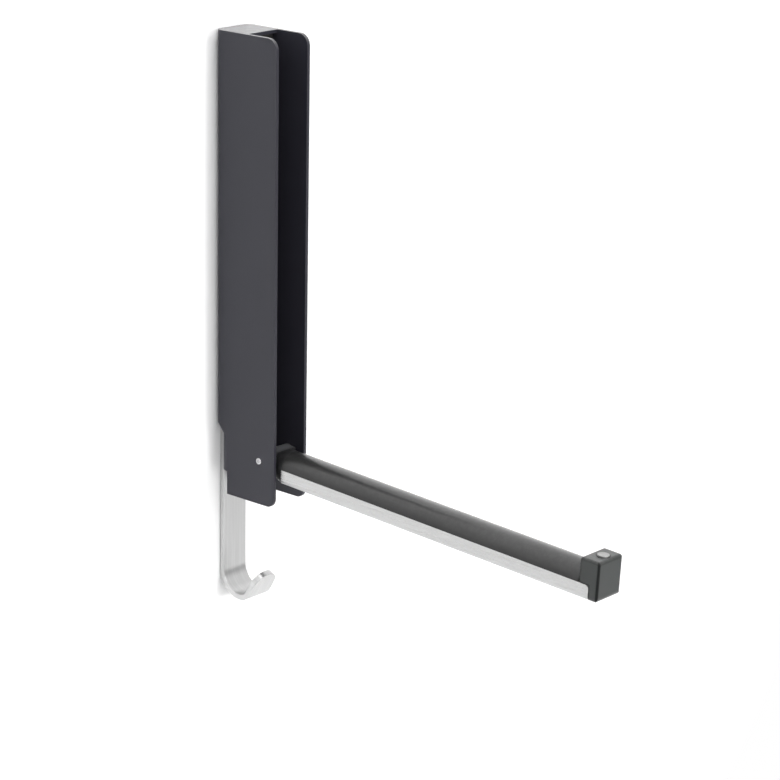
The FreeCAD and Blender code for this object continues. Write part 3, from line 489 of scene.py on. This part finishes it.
def stageMaterial(name, whiteGlow):
    # pale paint that also shows its own white to the camera and to mirrors; its glow carries a
    # painted contact shadow beside the valet and a painted pool of light on the floor, brightest at
    # the wall
    material = bpy.data.materials.new(name)
    material.use_nodes = True
    tree = material.node_tree
    tree.nodes.clear()
    place = addNode(tree, "ShaderNodeTexCoord").outputs["Object"]
    path = addNode(tree, "ShaderNodeLightPath").outputs
    mottle = noise(tree, place, **stage["mottleNoise"])
    tint = mix(tree, "RGBA", mottle, grey(stage["white"]), grey(stage["white"] + stage["mottle"]))
    paint = addNode(tree, "ShaderNodeBsdfDiffuse", Color=tint)
    direct = calculate(tree, "ADD", path["Is Camera Ray"], path["Is Glossy Ray"], clamp=True)
    seen = calculate(tree, "ADD", direct, path["Is Transmission Ray"], clamp=True)
    # painted pool of light: the glow is full at the wall and falls to nothing glowReach in front of
    # it
    paintedPool = stretch(tree, axisOf(tree, place, "Y"), -stage["glowReach"], 0.0, 0.0, whiteGlow)
    lit = calculate(tree, "MULTIPLY", contactShade(tree, place), paintedPool)
    glow = addNode(tree, "ShaderNodeEmission", Strength=calculate(tree, "MULTIPLY", seen, lit))
    painted = addNode(tree, "ShaderNodeAddShader")
    plug(tree, painted.inputs[0], paint.outputs["BSDF"])
    plug(tree, painted.inputs[1], glow.outputs["Emission"])
    # plain white to the camera further out
    distance = calculateVector(tree, "LENGTH", place).outputs["Value"]
    whiteOut = stretch(tree, distance, stage["whiteFrom"], stage["whiteTo"])
    onCamera = calculate(tree, "MULTIPLY", whiteOut, path["Is Camera Ray"])
    plainWhite = addNode(tree, "ShaderNodeEmission", Strength=1.0)
    surface = mixShaders(tree, onCamera, painted.outputs["Shader"], plainWhite.outputs["Emission"])
    # open from behind, and to what touches it
    touching = calculate(tree, "LESS_THAN", path["Ray Length"], stage["skin"])
    side = addNode(tree, "ShaderNodeNewGeometry")
    opened = calculate(tree, "MAXIMUM", side.outputs["Backfacing"], touching)
    clear = addNode(tree, "ShaderNodeBsdfTransparent")
    shown = mixShaders(tree, opened, surface, clear.outputs["BSDF"])
    addNode(tree, "ShaderNodeOutputMaterial", Surface=shown)
    return material


def addPlane(name, location, turned=0.0, depth=1.0):
    # a plane of the wall's size, with its place in its mesh
    bpy.ops.object.select_all(action="DESELECT")
    bpy.ops.mesh.primitive_plane_add(size=stage["wallSize"], location=location,
                                     rotation=(math.radians(turned), 0, 0))
    plane = bpy.context.object
    plane.name = name
    plane.scale.y = depth
    bpy.ops.object.transform_apply(location=True, rotation=True, scale=True)
    return plane


def behindValet(face):
    x, z = abs(face.center.x), face.center.z
    behindChannel = x < stage["holeHalfWide"] and stage["holeStep"] < z < stage["holeTop"]
    behindStrip = x < stage["stripHalfWide"] and stage["holeFoot"] < z < stage["holeStep"]
    return behindChannel or behindStrip


def makeWall():
    # upright plane facing the room, open behind the valet so that its back is lit too
    wall = addPlane("backWall", (0, stage["wallGap"], 0), turned=90)
    cuts = [((x, 0, 0), (1, 0, 0)) for x in (-stage["holeHalfWide"], -stage["stripHalfWide"],
                                             stage["stripHalfWide"], stage["holeHalfWide"])]
    cuts += [((0, 0, z), (0, 0, 1)) for z in (stage["holeFoot"], stage["holeStep"], stage["holeTop"])]
    bpy.ops.object.mode_set(mode="EDIT")
    for place, normal in cuts:
        bpy.ops.mesh.select_all(action="SELECT")
        bpy.ops.mesh.bisect(plane_co=place, plane_no=normal)
    bpy.ops.mesh.select_all(action="DESELECT")
    bpy.ops.object.mode_set(mode="OBJECT")
    for face in wall.data.polygons:
        face.select = behindValet(face)
    bpy.ops.object.mode_set(mode="EDIT")
    bpy.ops.mesh.select_mode(type="FACE")
    bpy.ops.mesh.delete(type="FACE")
    bpy.ops.object.mode_set(mode="OBJECT")
    wall.data.materials.append(stageMaterial("wallPaint", stage["wallGlow"]))


def makeFloor():
    middle = -stage["floorDepth"] / 2 - stage["floorGap"]
    floor = addPlane("paleFloor", (0, middle, -stage["floorDrop"]),
                     depth=stage["floorDepth"] / stage["wallSize"])
    floor.data.materials.append(stageMaterial("floorPaint", stage["floorGlow"]))


makeWall()
makeFloor()


# light

light = {"worldFill": 0.27, "worldSeen": 1.0, "horizon": 0.42, "horizonFrom": -0.10,
         "horizonTo": 0.35}
lamps = {
    "keySoftbox": {"from": (0.21, -1.9, 0.12), "size": 0.40, "power": 8.5},
    "frontSoftbox": {"from": (0.0, -2.2, 1.0), "size": 1.8, "power": 13.0},
    "sideSoftbox": {"from": (-1.7, -1.7, 0.9), "size": 1.8, "power": 10.5},
    "topSoftbox": {"from": (-0.1, -0.35, 1.2), "size": 0.9, "power": 6.0},
}


def makeWorld():
    # white to the camera, darker to mirrors below the horizon, and a low even fill
    world = bpy.data.worlds.new("studio")
    bpy.context.scene.world = world
    world.use_nodes = True
    tree = world.node_tree
    tree.nodes.clear()
    place = addNode(tree, "ShaderNodeTexCoord").outputs["Generated"]
    path = addNode(tree, "ShaderNodeLightPath").outputs
    rise = stretch(tree, axisOf(tree, place, "Z"), light["horizonFrom"], light["horizonTo"],
                   light["horizon"], light["worldSeen"])
    fill, mirrored, seen = [
        addNode(tree, "ShaderNodeBackground", Color=grey(1), Strength=strength).outputs["Background"]
        for strength in (light["worldFill"], rise, light["worldSeen"])]
    reflected = calculate(tree, "ADD", path["Is Glossy Ray"], path["Is Transmission Ray"], clamp=True)
    indirect = mixShaders(tree, reflected, fill, mirrored)
    shown = mixShaders(tree, path["Is Camera Ray"], indirect, seen)
    addNode(tree, "ShaderNodeOutputWorld", Surface=shown)


def makeLamp(name, lamp):
    data = bpy.data.lights.new(name, "AREA")
    data.shape = "DISK"
    data.size = lamp["size"]
    data.energy = lamp["power"]
    lampObject = bpy.data.objects.new(name, data)
    bpy.context.collection.objects.link(lampObject)
    place = Vector(lamp["from"])
    lampObject.location = place
    lampObject.rotation_euler = (-place).to_track_quat("-Z", "Y").to_euler()


makeWorld()
for name, lamp in lamps.items():
    makeLamp(name, lamp)
print("valet: stage and light set")


# camera

view = {"place": (-0.82227, -0.80473, 0.29463), "turn": 49.019, "dip": 16.968, "roll": 1.090,
        "lens": 129.10, "film": 36.0, "nearest": 0.01, "furthest": 50}


def makeCamera():
    turn, dip, roll = (math.radians(view[key]) for key in ("turn", "dip", "roll"))
    ahead = Vector((math.sin(turn) * math.cos(dip), math.cos(turn) * math.cos(dip), -math.sin(dip)))
    level = Vector((math.cos(turn), -math.sin(turn), 0))
    upright = level.cross(ahead)
    right = level * math.cos(roll) + upright * math.sin(roll)
    above = upright * math.cos(roll) - level * math.sin(roll)
    data = bpy.data.cameras.new("valetCamera")
    data.sensor_fit = "HORIZONTAL"
    data.sensor_width = view["film"]
    data.lens = view["lens"]
    data.clip_start = view["nearest"]
    data.clip_end = view["furthest"]
    camera = bpy.data.objects.new("valetCamera", data)
    bpy.context.collection.objects.link(camera)
    axes = Matrix((right, above, -ahead)).transposed()
    camera.matrix_world = Matrix.Translation(view["place"]) @ axes.to_4x4()
    bpy.context.scene.camera = camera


makeCamera()
bpy.context.scene.view_settings.view_transform = "Standard"

print("valet: ready")
